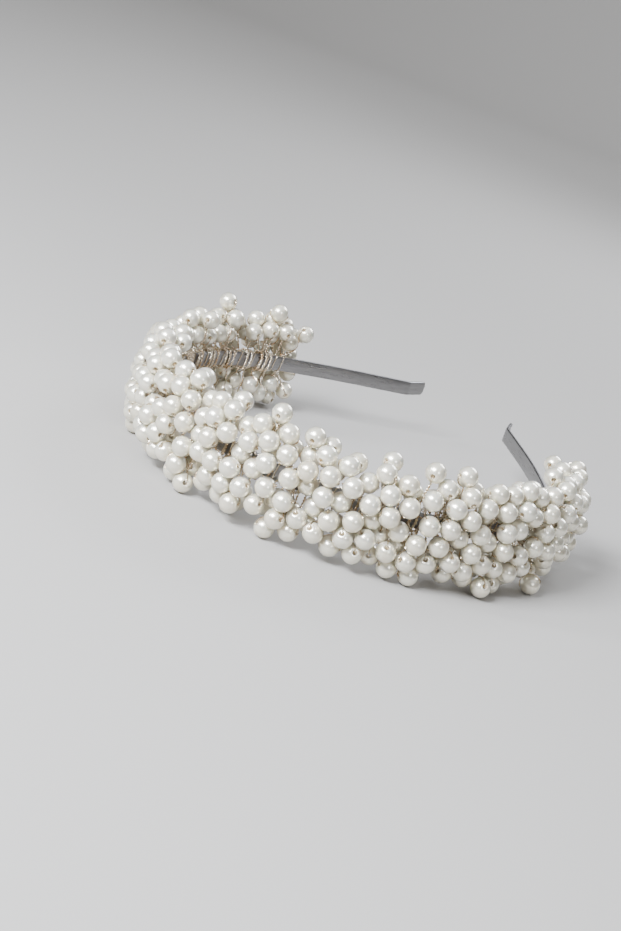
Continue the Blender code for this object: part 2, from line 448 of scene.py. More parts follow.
def tube_faces(rings: int, sides: int, closed: bool = False) -> list[tuple[int, ...]]:
    """List the faces of a tube.

    Args:
        rings: how many rings of points it has.
        sides: how many points a ring has.
        closed: whether its last ring joins its first.

    Returns:
        The side faces, and the two end caps of an open tube.
    """
    faces: list[tuple[int, ...]] = []
    for i in range(rings if closed else rings - 1):
        for j in range(sides):
            k, after = (j + 1) % sides, (i + 1) % rings
            faces.append((i * sides + j, after * sides + j, after * sides + k, i * sides + k))
    if not closed:
        faces.append(tuple(range(sides)))
        faces.append(tuple((rings - 1) * sides + j for j in reversed(range(sides))))
    return faces


def sweep(path: np.ndarray, section: np.ndarray, turns: np.ndarray) -> np.ndarray:
    """Carry a section along a path without twisting it, apart from the turns asked for.

    Args:
        path: points along the path, one row each.
        section: the section's points in its own plane.
        turns: how far the section is turned at each point, in radians.

    Returns:
        The rings' points, one after another.
    """
    ahead = np.gradient(path, axis=0)
    ahead /= np.linalg.norm(ahead, axis=1, keepdims=True)
    side = np.cross(ahead[0], (0.0, 0.0, 1.0))
    nearly_upright = 0.2
    if np.linalg.norm(side) < nearly_upright:
        side = np.cross(ahead[0], (1.0, 0.0, 0.0))
    rings = []
    for point, forward, turn in zip(path, ahead, turns):
        side = side - forward * side.dot(forward)
        side /= np.linalg.norm(side)
        up = np.cross(side, forward)
        across = side * math.cos(turn) + up * math.sin(turn)
        upward = up * math.cos(turn) - side * math.sin(turn)
        rings.append(point + section[:, :1] * across + section[:, 1:] * upward)
    return np.concatenate(rings)


@dataclass(frozen=True)
class Wire:
    """The wire the pearls are strung on, alone or as two strands twisted together."""

    strand_diameter: float = 0.36 * MM
    twist_pitch: float = 2.1 * MM
    strand_sides: int = 6
    steps_per_twist: int = 7

    def strand_section(self) -> np.ndarray:
        """Return the round section of one strand."""
        return round_ring(self.strand_sides) * (self.strand_diameter / 2)

    def pair_section(self) -> np.ndarray:
        """Work out the waisted section of two strands side by side.

        Returns:
            Its points, in order round it.
        """
        half = self.strand_diameter / 2
        corners_in_radii = ((2.0, 0.0), (1.5, 0.87), (0.6, 0.8), (0.0, 0.25), (-0.6, 0.8), (-1.5, 0.87))
        upper = np.array(corners_in_radii) * half
        return np.concatenate([upper, -upper])[:, ::-1]

    def add_strand(self, parts: MeshParts, path: np.ndarray) -> None:
        """Add one strand along a path.

        Args:
            parts: the mesh it goes into.
            path: points along it.
        """
        section = self.strand_section()
        parts.add(sweep(path, section, np.zeros(len(path))), tube_faces(len(path), len(section)))

    def add_pair(self, parts: MeshParts, points: np.ndarray) -> None:
        """Add two twisted strands along a smooth curve.

        Args:
            parts: the mesh they go into.
            points: points that their middle line passes through.
        """
        path = smooth_route(points, self.twist_pitch / self.steps_per_twist)
        steps = np.linalg.norm(np.diff(path, axis=0), axis=1)
        turns = np.concatenate([[0.0], np.cumsum(steps)]) * (FULL_TURN / self.twist_pitch)
        section = self.pair_section()
        parts.add(sweep(path, section, turns), tube_faces(len(path), len(section)))


def smooth_route(points: np.ndarray, spacing: float) -> np.ndarray:
    """Return points at an even spacing on a smooth curve through some points.

    Args:
        points: the points to pass through.
        spacing: the distance between the returned points.

    Returns:
        The curve's points.
    """
    padded = np.concatenate([[2 * points[0] - points[1]], points, [2 * points[-1] - points[-2]]])
    steps_between = 8
    shares = np.linspace(0, 1, steps_between, endpoint=False)[:, None]
    curve = []
    for a, b, c, d in zip(padded, padded[1:], padded[2:], padded[3:]):
        curve.append(0.5 * (
            2 * b + (c - a) * shares + (2 * a - 5 * b + 4 * c - d) * shares ** 2
            + (3 * b - a - 3 * c + d) * shares ** 3
        ))
    dense = np.concatenate(curve + [points[-1:]])
    lengths = np.concatenate([[0.0], np.cumsum(np.linalg.norm(np.diff(dense, axis=0), axis=1))])
    wanted = np.linspace(0, lengths[-1], max(3, round(lengths[-1] / spacing) + 1))
    return np.stack([np.interp(wanted, lengths, dense[:, axis]) for axis in range(3)], axis=1)


@dataclass(frozen=True)
class Band:
    """The flat spring steel strip, bent to a deep arc with both bare ends turned out."""

    width: float = 5.0 * MM
    thickness: float = 1.0 * MM
    edge_radius: float = 0.32 * MM
    crown_radius: float = 62.0 * MM
    crown_half_angle: float = math.radians(120)
    leg_radius: float = 270.0 * MM
    leg_length: float = 37.0 * MM
    temple_flat_length: float = 20.0 * MM
    tip_bend_radius: float = 4.0 * MM
    tip_bend_angle: float = math.radians(25)
    tip_length: float = 8.5 * MM
    tip_corner_radius: float = 1.2 * MM
    tip_corner_degrees: tuple[float, ...] = (25, 50, 72, 90)
    edge_steps: int = 3
    station_spacing: float = 1.6 * MM
    bend_stations: int = 6
    tip_stations: int = 5

    def stretches(self) -> tuple[tuple[float, float], ...]:
        """Return the length and curvature of each stretch of one half, from the crown's middle."""
        return (
            (self.crown_radius * self.crown_half_angle, 1 / self.crown_radius),
            (self.leg_length, 1 / self.leg_radius),
            (self.temple_flat_length, 0.0),
            (self.tip_bend_radius * self.tip_bend_angle, -1 / self.tip_bend_radius),
            (self.tip_length, 0.0),
        )

    def half_length(self) -> float:
        """Return the length from the crown's middle to an end."""
        return sum(length for length, _ in self.stretches())

    def frame_at(self, along: float) -> tuple[Vector, Vector, Vector]:
        """Find the band's middle line.

        Args:
            along: the length from the crown's middle, positive towards +X.

        Returns:
            The point there, the band's direction and the outward direction.
        """
        x = y = heading = 0.0
        left = abs(along)
        for length, curvature in self.stretches():
            run = min(left, length)
            turn = curvature * run
            if curvature:
                x += (math.sin(heading + turn) - math.sin(heading)) / curvature
                y -= (math.cos(heading + turn) - math.cos(heading)) / curvature
            else:
                x += run * math.cos(heading)
                y += run * math.sin(heading)
            heading += turn
            left -= run
        side = -1.0 if along < 0 else 1.0
        direction = Vector((math.cos(heading), side * math.sin(heading), 0))
        outward = Vector((side * math.sin(heading), -math.cos(heading), 0))
        return Vector((side * x, y, 0)), direction, outward

    def place(self, along: float, out: float, up: float) -> Vector:
        """Return the point at a length along the band, a distance outwards and a height."""
        point, _, outward = self.frame_at(along)
        return point + outward * out + Vector((0, 0, up))

    def rounded_section(self, half_width: float) -> np.ndarray:
        """Draw the strip's section with rounded edges.

        Args:
            half_width: half the size across, upwards.

        Returns:
            The section's points as (out, up), in order round it.
        """
        points = []
        radius = self.edge_radius
        for turn, (out, up) in enumerate(((1, 1), (-1, 1), (-1, -1), (1, -1))):
            for step in range(self.edge_steps + 1):
                angle = (turn + step / self.edge_steps) * math.pi / 2
                points.append((
                    out * (self.thickness / 2 - radius) + radius * math.cos(angle),
                    up * (half_width - radius) + radius * math.sin(angle),
                ))
        return np.array(points)

    def stations(self) -> list[float]:
        """Choose where the section is set, closer together in the bends and at the ends.

        Returns:
            The lengths from the crown's middle, from one end to the other.
        """
        total = self.half_length()
        bend_end = total - self.tip_length
        bend_start = bend_end - self.tip_bend_radius * self.tip_bend_angle
        half = list(np.arange(0, bend_start, self.station_spacing))
        half += list(np.linspace(bend_start, bend_end, self.bend_stations))
        half += list(np.linspace(bend_end, total - self.tip_corner_radius, self.tip_stations)[1:])
        turns = np.radians(self.tip_corner_degrees)
        half += [total - self.tip_corner_radius * (1 - math.sin(turn)) for turn in turns]
        return [-along for along in reversed(half[1:])] + half

    def narrowing(self, along: float) -> float:
        """Work out the strip's half width, which is less at a rounded end.

        Args:
            along: the length from the crown's middle.

        Returns:
            The half width there.
        """
        before_end = self.half_length() - abs(along)
        if before_end >= self.tip_corner_radius:
            return self.width / 2
        missing = 1 - before_end / self.tip_corner_radius
        return self.width / 2 - self.tip_corner_radius * (1 - math.sqrt(max(0.0, 1 - missing * missing)))

    def build(self, steel: bpy.types.Material, origin: Vector) -> bpy.types.Object:
        """Loft the strip and lay its length and width out in millimetres for the brushed finish.

        Args:
            steel: the strip's material.
            origin: where the band's own frame stands.

        Returns:
            The strip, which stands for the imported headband.
        """
        parts = MeshParts()
        rings, lengths = [], self.stations()
        for along in lengths:
            section = self.rounded_section(self.narrowing(along))
            rings.append(np.array([self.place(along, out, up) for out, up in section]))
        sides = len(rings[0])
        parts.add(np.concatenate(rings), tube_faces(len(rings), sides))
        piece = parts.make("steel_band", [steel], origin)
        layer = piece.data.uv_layers.new(name="strip_mm")
        around = np.arange(sides) * (2 * (self.width + self.thickness) / sides)
        for loop in piece.data.loops:
            ring, side = divmod(loop.vertex_index, sides)
            layer.data[loop.index].uv = (lengths[ring] / MM, around[side] / MM)
        return piece


@dataclass(frozen=True)
class Seat:
    """Where a pearl of a sprig sits: a share of the pitch, and its angle in even and in odd sprigs."""

    along: float
    degrees: float
    odd_degrees: float


@dataclass
class Pearl:
    """One pearl: its centre, where its stem starts on the band, its piece and its bore's direction."""

    centre: Vector
    root: Vector
    piece: str
    bore: Vector = field(default_factory=Vector)


@dataclass
class Sprig:
    """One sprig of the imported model: its name, its place along the band, its root and its pearls' centres."""

    name: str
    along: float
    root: Vector
    centres: list[Vector]


def distance_between(a_start: Vector, a_end: Vector, b_start: Vector, b_end: Vector) -> float:
    """Work out the least distance between two straight stretches, either of which may be a single point.

    Args:
        a_start: one end of the first stretch.
        a_end: its other end.
        b_start: one end of the second stretch.
        b_end: its other end.

    Returns:
        The distance.
    """
    nearly_parallel = 1e-18
    a_run, b_run, apart = a_end - a_start, b_end - b_start, a_start - b_start
    a_sq, b_sq, cross = a_run.dot(a_run), b_run.dot(b_run), a_run.dot(b_run)
    scale = a_sq * b_sq - cross * cross
    share = 0.0
    if scale > nearly_parallel:
        share = min(1.0, max(0.0, (cross * b_run.dot(apart) - b_sq * a_run.dot(apart)) / scale))
    other = min(1.0, max(0.0, (cross * share + b_run.dot(apart)) / b_sq)) if b_sq else 0.0
    if a_sq:
        share = min(1.0, max(0.0, (cross * other - a_run.dot(apart)) / a_sq))
    return (a_start + a_run * share - b_start - b_run * other).length


@dataclass(frozen=True)
class SprigLayout:
    """The rule by which the sprigs' pearls are set along the band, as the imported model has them."""

    band: Band
    pearl_diameter: float = 6.0 * MM
    stem_diameter: float = 0.8 * MM
    clearance: float = 0.3 * MM
    left_end: float = 138.0 * MM
    right_end: float = 130.0 * MM
    half_height: float = 17.4 * MM
    outer_reach: float = 12.6 * MM
    centre_out: float = 3.3 * MM
    pitch_in_pearls: float = 2.73
    foot_every: int = 2
    foot_stands_proud: float = 0.8 * MM
    touch_in_pearls: float = 0.95
    foot_drop_in_touches: float = 0.8
    root_in_half_widths: float = 0.3
    jitter_along: float = 0.9 * MM
    jitter_degrees: float = 7.0
    jitter_reach: float = 0.06
    jitter_growth: float = 0.08
    search_limit: int = 400
    rounding_error: float = 1e-6
    seed: int = 11
    # The core pearl, the leading and the trailing edge pearl and the crest pearl.
    seats: tuple[Seat, ...] = (
        Seat(0.0, 40, 34),
        Seat(-0.22, 74, 90),
        Seat(0.22, 88, 72),
        Seat(0.05, 10, 2),
    )

    def start(self) -> float:
        """Return the length along the band of the first pearls' middle."""
        return self.pearl_diameter / 2 - self.left_end

    def length(self) -> float:
        """Return the length along the band between the first and the last pearls' middles."""
        return self.left_end + self.right_end - self.pearl_diameter

    def count(self) -> int:
        """Return how many sprigs the upper row has."""
        return max(1, round(self.length() / (self.pitch_in_pearls * self.pearl_diameter)))

    def rest(self) -> float:
        """Return how far the lowest pearls' centres are below the band's middle."""
        return self.half_height - self.pearl_diameter / 2

    def reach_past_centre(self) -> float:
        """Return how far the outermost pearls' centres are outside the middle of the garland's section."""
        return self.outer_reach - self.pearl_diameter / 2 - self.centre_out

    def is_clear(self, centre: Vector, root: Vector | None, sprigs: list[Sprig]) -> bool:
        """Tell whether a pearl, and its stem if it has one, keeps the clearance to every other sprig.

        Args:
            centre: the pearl's centre.
            root: where its stem starts on the band, or None for a pearl without one.
            sprigs: the other sprigs.

        Returns:
            Whether it keeps clear.
        """
        pearl, stem = self.pearl_diameter / 2, self.stem_diameter / 2
        end = centre if root is None else root
        for sprig in sprigs:
            for other in sprig.centres:
                if (centre - other).length < 2 * pearl + self.clearance:
                    return False
                if distance_between(other, other, centre, end) < pearl + stem + self.clearance:
                    return False
            core = sprig.centres[0]
            if distance_between(centre, centre, core, sprig.root) < pearl + stem + self.clearance:
                return False
            if root is None:
                continue
            if distance_between(centre, root, core, sprig.root) < 2 * stem + self.clearance:
                return False
        return True

    def seat_place(self, along: float, degrees: float, reach: float, side: int) -> Vector:
        """Set a pearl on the garland's section.

        Args:
            along: its place along the band.
            degrees: its angle round the section, from straight out.
            reach: how far out it is, as a share of the section.
            side: 1 above the band, -1 below.

        Returns:
            Its centre.
        """
        out = self.centre_out + self.reach_past_centre() * reach * math.cos(math.radians(degrees))
        up = self.rest() * reach * math.sin(math.radians(degrees)) * side
        return self.band.place(along, out, up)

    def lean_against(self, core: Vector, target: Vector, height: float | None) -> Vector:
        """Move a pearl to where it touches the sprig's core pearl.

        Args:
            core: the core pearl's centre.
            target: where the pearl would be, which gives the side it touches on.
            height: the height it has to have, or None for any.

        Returns:
            The pearl's centre.
        """
        touch = self.touch_in_pearls * self.pearl_diameter
        if height is None:
            return core + (target - core).normalized() * touch
        drop = max(-touch, min(touch, height - core.z))
        sideways = Vector((target.x - core.x, target.y - core.y, 0)).normalized()
        return core + sideways * math.sqrt(touch * touch - drop * drop) + Vector((0, 0, drop))

    def settle(
        self, name: str, along: float, side: int, number: int, sprigs: list[Sprig], rng: random.Random
    ) -> Sprig:
        """Find free places for one sprig's pearls.

        Args:
            name: the sprig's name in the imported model.
            along: its place along the band.
            side: 1 above the band, -1 below.
            number: its number in its row, from 0.
            sprigs: the sprigs that are in place.
            rng: the source of the unevenness.

        Returns:
            The sprig, its core pearl first.
        """
        pitch = self.length() / self.count()
        rest = self.rest()
        has_foot = side < 0 and number % self.foot_every == 0
        foot = self.seats[1 + number // self.foot_every % 2]
        tail_out = self.band.thickness / 2 + self.clearance + self.stem_diameter / 2
        root = self.band.place(along, tail_out, side * self.root_in_half_widths * self.band.width / 2)
        centres: list[Vector] = []
        for seat in self.seats:
            degrees = seat.odd_degrees if number % 2 else seat.degrees
            on_floor = has_foot and seat is foot
            for attempt in range(self.search_limit):
                growth = 1.0 + attempt * self.jitter_growth
                shift = seat.along * pitch + rng.uniform(-1, 1) * self.jitter_along * growth
                tilt = degrees + rng.uniform(-1, 1) * self.jitter_degrees * growth
                reach = 1.0 + rng.uniform(-1, 1 + attempt * self.jitter_growth) * self.jitter_reach
                centre = self.seat_place(along + shift, tilt, reach, side)
                if not centres and has_foot:
                    centre.z = self.touch_in_pearls * self.pearl_diameter * self.foot_drop_in_touches - rest
                if centres:
                    centre = self.lean_against(centres[0], centre, -rest if on_floor else None)
                lowest = (0.0 if on_floor else self.foot_stands_proud) - rest - self.rounding_error
                apart = self.pearl_diameter + self.clearance
                sisters_clear = all((centre - other).length > apart for other in centres[1:])
                stem_root = None if centres else root
                if centre.z > lowest and sisters_clear and self.is_clear(centre, stem_root, sprigs):
                    break
            centres.append(centre)
        return Sprig(name, along, root, centres)

    def lay_out(self) -> list[Sprig]:
        """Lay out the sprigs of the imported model.

        Returns:
            All of them, the upper row first.
        """
        rng = random.Random(self.seed)
        pitch = self.length() / self.count()
        sprigs: list[Sprig] = []
        for row in Row:
            label, side, first, fewer = row.value
            for number in range(self.count() - fewer):
                along = self.start() + (number + first) * pitch
                name = f"{label}_sprig_{number + 1:02d}"
                sprigs.append(self.settle(name, along, side, number, sprigs, rng))
        return sprigs


@dataclass(frozen=True)
class EdgePearl:
    """A pearl that stands out from the garland's edge: its place along the band, out and up, in mm."""

    along_mm: float
    out_mm: float
    up_mm: float


@dataclass(frozen=True)
class Filling:
    """The pearls between the sprigs, each pressed into the snuggest free place that is left."""

    layout: SprigLayout
    rounds: int = 8
    left_end_rounds: int = 13
    left_end_stretches: int = 3
    right_end_rounds: int = 10
    right_end_stretches: int = 2
    stretch_length: float = 8.2 * MM
    grid: float = 0.95 * MM
    band_gap: float = 1.1 * MM
    floor_gap: float = 0.5 * MM
    bulge_limit: float = 1.02
    squeeze: float = 0.99
    inner_out: float = -0.6 * MM
    left_overhang: float = 7.5 * MM
    right_overhang: float = 1.5 * MM
    swell_along: float = 106.0 * MM
    swell_length: float = 15.0 * MM
    swell_out: float = 2.6 * MM
    notch_depth: float = 0.20
    loose_range: float = 2.2 * MM
    unevenness: float = 0.9
    shell_weight: float = 2.2
    edge_pearls: tuple[EdgePearl, ...] = (
        EdgePearl(-143, 3, 11),
        EdgePearl(-130, 5, 15),
        EdgePearl(-112, 5, 15),
        EdgePearl(5, 4, 15),
        EdgePearl(15, 4, 14),
        EdgePearl(48, 4, 15),
        EdgePearl(57, 4, 15),
        EdgePearl(78, 5, 14),
        EdgePearl(40, 5, -14),
        EdgePearl(67, 7, -14),
        EdgePearl(91, 7, -14),
    )
    edge_slack: float = 3.0 * MM
    edge_spots: int = 13
    seed: int = 5

    def candidates(self) -> tuple[np.ndarray, np.ndarray, np.ndarray]:
        """Spread places on a fine grid inside the garland, clear of the band and the notches in its edges.

        Returns:
            The places, how near each is to the garland's surface, and the number of its stretch.
        """
        layout, band = self.layout, self.layout.band
        rng = np.random.default_rng(self.seed)
        high = layout.rest()
        wide = layout.reach_past_centre()
        pitch = layout.length() / layout.count()
        outs = np.arange(self.inner_out, layout.centre_out + wide, self.grid)
        ups = np.arange(-high, high + self.grid, self.grid)
        out, up = (axis.ravel() for axis in np.meshgrid(outs, ups))
        bulge = np.hypot(np.maximum(out - layout.centre_out, 0) / wide, up / high)
        first = layout.start() - self.left_overhang
        last = layout.start() + layout.length() + self.right_overhang
        clear_of_band = layout.pearl_diameter / 2 + self.band_gap
        past_face = np.maximum(np.abs(out) - band.thickness / 2, 0)
        past_edge = np.maximum(np.abs(up) - band.width / 2, 0)
        keep = (bulge < self.bulge_limit) & (np.hypot(past_face, past_edge) > clear_of_band)
        out, up, bulge = out[keep], up[keep], bulge[keep]
        places, shells, stretches = [], [], []
        for along in np.arange(first, last, self.grid):
            point, direction, outward = band.frame_at(float(along))
            swell = self.swell_out * math.exp(-(((along - self.swell_along) / self.swell_length) ** 2))
            stretch = 1 + swell / (layout.centre_out + wide)
            wave = math.sin(math.pi * (along - layout.start()) / pitch) ** 2
            upper_edge = high * (1 - self.notch_depth * (1 - wave))
            lower_edge = high * (1 - self.notch_depth * wave)
            inside = (up < upper_edge) & (up > -lower_edge)
            shift = rng.uniform(-0.5, 0.5, (3, int(inside.sum()))) * self.grid
            outwards = out[inside] * stretch + shift[0]
            spots = np.array(point) + np.outer(outwards, outward) + np.outer(shift[2], direction)
            spots[:, 2] += np.clip(up[inside] + shift[1], self.floor_gap - high, high)
            places.append(spots)
            shells.append(bulge[inside])
            stretches.append(np.full(len(spots), int((along - first) / self.stretch_length)))
        return np.concatenate(places), np.concatenate(shells), np.concatenate(stretches)

    def fill(self, centres: list[Vector]) -> list[np.ndarray]:
        """Add the edge pearls, then pearls in rounds, one to a stretch, where the neighbours are closest.

        Args:
            centres: the pearls that are in place.

        Returns:
            The added pearls' centres.
        """
        rng = np.random.default_rng(self.seed + 1)
        places, shell, stretch = self.candidates()
        diameter = self.layout.pearl_diameter
        reach = diameter + self.loose_range
        nearest = np.full(len(places), FAR_AWAY)
        snug = rng.uniform(0, self.unevenness, len(places)) + self.shell_weight * shell

        def press(centre: np.ndarray) -> None:
            """Count one more neighbour for every place.

            Args:
                centre: the neighbour's centre.
            """
            apart = np.linalg.norm(places - centre, axis=1)
            np.minimum(nearest, apart, out=nearest)
            near = apart < reach
            snug[near] += (reach - apart[near]) / self.loose_range

        placed = [np.array(centre) for centre in centres]
        added = self.settle_edge_pearls(placed)
        for centre in placed + added:
            press(centre)
        last_stretch = int(stretch.max())
        for turn in range(max(self.rounds, self.left_end_rounds, self.right_end_rounds)):
            for number in rng.permutation(last_stretch + 1):
                if turn >= self.rounds_for(number, last_stretch):
                    continue
                free = (nearest >= diameter * self.squeeze) & (stretch == number)
                if free.any():
                    best = places[int(np.argmax(np.where(free, snug, -1.0)))]
                    added.append(best)
                    press(best)
        return added

    def settle_edge_pearls(self, placed: list[np.ndarray]) -> list[np.ndarray]:
        """Put each edge pearl on the nearest spot to its place that is free.

        Args:
            placed: the pearls that are in place.

        Returns:
            The edge pearls' centres, without those that find no spot.
        """
        layout = self.layout
        steps = np.linspace(-self.edge_slack, self.edge_slack, self.edge_spots)
        cloud = np.stack(np.meshgrid(steps, steps, steps), axis=-1).reshape(-1, 3)
        cloud = cloud[np.argsort(np.linalg.norm(cloud, axis=1))]
        settled: list[np.ndarray] = []
        for pearl in self.edge_pearls:
            wanted = layout.band.place(pearl.along_mm * MM, pearl.out_mm * MM, pearl.up_mm * MM)
            spots = np.array(wanted) + cloud
            spots[:, 2] = np.maximum(spots[:, 2], -layout.rest())
            others = np.array(placed + settled)
            apart = np.linalg.norm(spots[:, None] - others[None], axis=2).min(axis=1)
            free = np.flatnonzero(apart >= layout.pearl_diameter * self.squeeze)
            if len(free):
                settled.append(spots[free[0]])
        return settled

    def rounds_for(self, stretch: int, last_stretch: int) -> int:
        """Choose how many pearls a stretch gets, which is more at the ends, where there are fewer sprigs.

        Args:
            stretch: the stretch's number.
            last_stretch: the last stretch's number.

        Returns:
            How many rounds of filling it takes part in.
        """
        if stretch < self.left_end_stretches:
            return self.left_end_rounds
        if stretch > last_stretch - self.right_end_stretches:
            return self.right_end_rounds
        return self.rounds


@dataclass(frozen=True)
class PearlBead:
    """One drilled pearl: a round bead with a bore right through it and a softly rounded rim at each end."""

    diameter: float = 6.0 * MM
    bore_diameter: float = 1.4 * MM
    rim_radius: float = 0.22 * MM
    rim_depth_in_radii: float = 1.2
    bend_out_in_radii: float = 0.3
    bend_depth_in_radii: float = 0.25
    sides: int = 32
    rows: int = 17

    def profile(self) -> tuple[np.ndarray, int]:
        """Draw the bead's outline.

        Returns:
            Its points (radius, height) from one rim over the bead and back through the bore, and how many of
            them are on the outside.
        """
        radius, bore = self.diameter / 2, self.bore_diameter / 2
        start = math.asin((bore + self.rim_radius) / radius)
        turns = np.linspace(start, math.pi - start, self.rows)
        outer = np.stack([radius * np.sin(turns), radius * np.cos(turns)], axis=1)
        edge = radius * math.cos(start)
        low = edge - self.rim_radius * self.rim_depth_in_radii
        bend_out = bore + self.rim_radius * self.bend_out_in_radii
        bend_up = edge - self.rim_radius * self.bend_depth_in_radii
        bore_wall = np.array([(bend_out, -bend_up), (bore, -low), (bore, low), (bend_out, bend_up)])
        return np.concatenate([outer, bore_wall]), self.rows

    def add(self, parts: MeshParts, centre: np.ndarray, axis: np.ndarray, tone: float) -> None:
        """Add the pearl to a mesh.

        Args:
            parts: the mesh that it goes into.
            centre: its centre.
            axis: the direction of its bore.
            tone: how warm its lacquer is, from 0 to 1.
        """
        outline, rows = self.profile()
        ring = round_ring(self.sides)
        points = np.concatenate([
            np.column_stack([ring * radius, np.full(self.sides, height)]) for radius, height in outline
        ])
        rotation = np.array(Vector((0, 0, 1)).rotation_difference(Vector(axis)).to_matrix())
        points = points @ rotation.T + centre
        faces = tube_faces(len(outline), self.sides, closed=True)
        bore_rows = len(outline) - rows - 1
        slots = [0] * (rows * self.sides) + [1] * (bore_rows * self.sides) + [0] * self.sides
        parts.add(points, faces, slots, tone)


@dataclass
class Garland:
    """All the pearls with their stems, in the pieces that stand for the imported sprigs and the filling."""

    layout: SprigLayout
    filling: Filling
    bead: PearlBead
    wire: Wire
    fill_groups: int = 4
    bore_trials: int = 12
    bore_check_angles: tuple[float, ...] = (0.0, 0.4, 0.8)
    root_samples: int = 240
    root_edge_share: float = 0.9
    root_full_height: float = 4.0 * MM
    root_out: float = 0.5 * MM
    route_points: int = 8
    push_rounds: int = 30
    push_range_in_pearls: float = 4.0
    push_gap_in_strands: float = 1.1
    push_share: float = 0.7
    relax_share: float = 0.25
    foot_gap_in_strands: float = 0.6
    strand_start_in_pearls: float = 0.3
    strand_rim_share: float = 0.96
    strand_degrees: tuple[float, ...] = (8, 22, 38, 54, 70, 84)
    tone_middle: float = 0.22
    tone_spread: float = 0.14
    tone_seed: int = 21
    pearls: list[Pearl] = field(default_factory=list)
    sprigs: list[Sprig] = field(default_factory=list)

    def lay_out(self) -> None:
        """Place the sprigs' pearls and the filling pearls."""
        self.sprigs = self.layout.lay_out()
        spread = 1 / self.layout.touch_in_pearls
        for sprig in self.sprigs:
            core = sprig.centres[0]
            for centre in sprig.centres:
                place = core + (centre - core) * spread
                place.z = max(place.z, -self.layout.rest())
                self.pearls.append(Pearl(place, sprig.root, sprig.name))
        centres = [pearl.centre for pearl in self.pearls]
        added = self.filling.fill(centres)
        for centre in added:
            group, root = self.nearest_root(centre)
            self.pearls.append(Pearl(Vector(centre), root, f"filling_pearls_{group}"))
        LOG.info("%d pearls in sprigs and %d between them", len(centres), len(added))

    def nearest_root(self, centre: np.ndarray) -> tuple[int, Vector]:
        """Find where a filling pearl's stem starts on the band.

        Args:
            centre: the pearl's centre.

        Returns:
            The number of the part of the garland that it is in, from 1, and the point.
        """
        layout = self.layout
        lengths = np.linspace(layout.start(), layout.start() + layout.length(), self.root_samples)
        points = [layout.band.frame_at(float(along))[0] for along in lengths]
        flat = np.linalg.norm(np.array(points)[:, :2] - centre[:2], axis=1)
        along = float(lengths[int(np.argmin(flat))])
        share = (along - layout.start()) / layout.length()
        group = min(self.fill_groups, int(share * self.fill_groups) + 1)
        limit = self.root_edge_share
        edge = layout.band.width / 2 * max(-limit, min(limit, centre[2] / self.root_full_height))
        return group, layout.band.place(along, layout.band.thickness / 2 + self.root_out, edge)

    def build(
        self, lacquer: bpy.types.Material, core: bpy.types.Material, origin: Vector
    ) -> list[bpy.types.Object]:
        """Build the pearls of every piece.

        Args:
            lacquer: the pearls' finish.
            core: the bores' finish.
            origin: where the band's own frame stands.

        Returns:
            One object for each sprig and each stretch of filling.
        """
        rng = random.Random(self.tone_seed)
        meshes: dict[str, MeshParts] = {}
        self.choose_bores(rng)
        for pearl in self.pearls:
            tone = min(1.0, max(0.0, rng.gauss(self.tone_middle, self.tone_spread)))
            parts = meshes.setdefault(pearl.piece, MeshParts())
            self.bead.add(parts, np.array(pearl.centre), np.array(pearl.bore), tone)
        return [parts.make(name + "_pearls", [lacquer, core], origin) for name, parts in meshes.items()]

    def choose_bores(self, rng: random.Random) -> None:
        """Turn every pearl's bore across its stem, to the side where the wire over it has most room.

        Args:
            rng: the source of the first direction that is tried.
        """
        centres = np.array([pearl.centre for pearl in self.pearls])
        for number, pearl in enumerate(self.pearls):
            stem = (pearl.root - pearl.centre).normalized()
            first = Matrix.Rotation(rng.uniform(0, math.pi), 3, stem) @ stem.orthogonal().normalized()
            apart = np.linalg.norm(centres - centres[number], axis=1)
            near = centres[(apart < 2 * self.bead.diameter) & (apart > 0)] - centres[number]
            best = -1.0
            for step in range(self.bore_trials):
                bore = Matrix.Rotation(step * math.pi / self.bore_trials, 3, stem) @ first
                over = [
                    bore * side * math.cos(angle) + stem * math.sin(angle)
                    for side in (1, -1) for angle in self.bore_check_angles
                ]
                reach = np.array(over) * self.bead.diameter / 2
                room = FAR_AWAY
                if len(near):
                    room = float(np.linalg.norm(reach[:, None] - near[None], axis=2).min())
                if room > best:
                    best, pearl.bore = room, bore

    def push_clear(self, route: np.ndarray, own: int, centres: np.ndarray) -> np.ndarray:
        """Bend a stem's route round the pearls that are in its way.

        Args:
            route: points from the pearl to the band.
            own: the number of the stem's own pearl.
            centres: all the pearls' centres.

        Returns:
            The bent route.
        """
        clear = self.bead.diameter / 2 + self.wire.strand_diameter * self.push_gap_in_strands
        push_range = self.push_range_in_pearls * self.bead.diameter
        near = centres[np.linalg.norm(centres - centres[own], axis=1) < push_range]
        route = route.copy()
        for _ in range(self.push_rounds):
            inner = route[1:-1]
            for i in range(len(inner)):
                gaps = inner[i] - near
                apart = np.linalg.norm(gaps, axis=1)
                k = int(np.argmin(apart))
                if apart[k] < clear:
                    away = gaps[k] / max(apart[k], self.layout.rounding_error)
                    inner[i] += away * (clear - apart[k]) * self.push_share
            inner += self.relax_share * ((route[:-2] + route[2:]) / 2 - inner)
        return route

